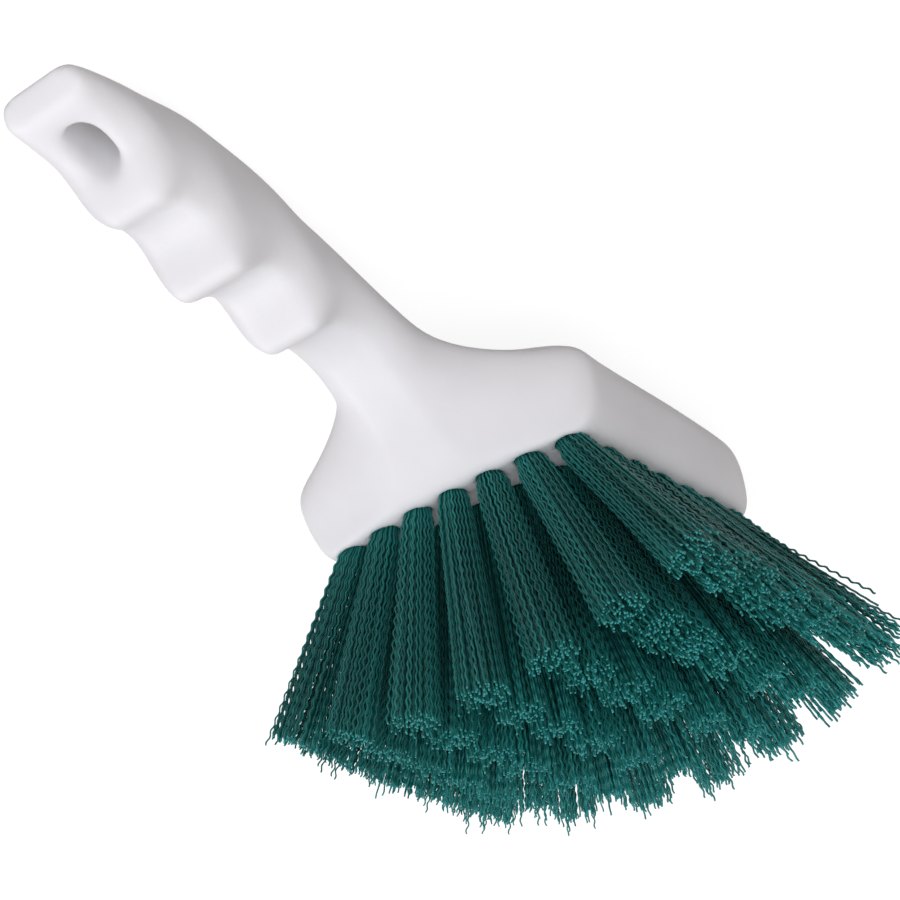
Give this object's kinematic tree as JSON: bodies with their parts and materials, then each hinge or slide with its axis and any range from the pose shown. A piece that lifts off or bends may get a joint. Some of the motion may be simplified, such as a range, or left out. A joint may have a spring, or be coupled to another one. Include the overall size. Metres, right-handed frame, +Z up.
{
  "type": "scrub brush",
  "caption": "Hand scrub brush: one-piece moulded block and finger-grip handle with a hang slot, and flared crimped bristle tufts held by anchor staples.",
  "frame": {"origin": "centre of the bounding box's bottom face, on the surface that the brush lies on", "axes": "+X from the handle towards the front of the block, +Z up, out of the tuft face side; the brush lies on its back with the bristles up, on the palm side of the handle and the front of the block"},
  "size_m": [0.2432, 0.1236, 0.0918],
  "materials": {
    "handle": "matt white foamed plastic with a faint moulded grain",
    "bristle": "glossy dark teal green crimped filament",
    "staple": "drawn flat wire"
  },
  "bodies": {
    "root": {"handle_block": "handle", "tuft_r1_c1": "bristle", "tuft_r1_c2": "bristle", "tuft_r1_c3": "bristle", "tuft_r1_c4": "bristle", "tuft_r1_c5": "bristle", "tuft_r1_c6": "bristle", "tuft_r1_c7": "bristle", "tuft_r2_c1": "bristle", "tuft_r2_c2": "bristle", "tuft_r2_c3": "bristle", "tuft_r2_c4": "bristle", "tuft_r2_c5": "bristle", "tuft_r2_c6": "bristle", "tuft_r2_c7": "bristle", "tuft_r3_c1": "bristle", "tuft_r3_c2": "bristle", "tuft_r3_c3": "bristle", "tuft_r3_c4": "bristle", "tuft_r3_c5": "bristle", "tuft_r3_c6": "bristle", "tuft_r3_c7": "bristle", "tuft_r4_c1": "bristle", "tuft_r4_c2": "bristle", "tuft_r4_c3": "bristle", "tuft_r4_c4": "bristle", "tuft_r4_c5": "bristle", "tuft_r4_c6": "bristle", "tuft_r4_c7": "bristle", "tuft_r5_c1": "bristle", "tuft_r5_c2": "bristle", "tuft_r5_c3": "bristle", "tuft_r5_c4": "bristle", "tuft_r5_c5": "bristle", "tuft_r5_c6": "bristle", "tuft_r5_c7": "bristle", "tuft_r6_c1": "bristle", "tuft_r6_c2": "bristle", "tuft_r6_c3": "bristle", "tuft_r6_c4": "bristle", "tuft_r6_c5": "bristle", "tuft_r6_c6": "bristle", "tuft_r6_c7": "bristle", "tuft_r7_c1": "bristle", "tuft_r7_c2": "bristle", "tuft_r7_c3": "bristle", "tuft_r7_c4": "bristle", "tuft_r7_c5": "bristle", "tuft_r7_c6": "bristle", "tuft_r7_c7": "bristle", "anchor_staples_row_1": "staple", "anchor_staples_row_2": "staple", "anchor_staples_row_3": "staple", "anchor_staples_row_4": "staple", "anchor_staples_row_5": "staple", "anchor_staples_row_6": "staple", "anchor_staples_row_7": "staple"}
  },
  "joints": []
}
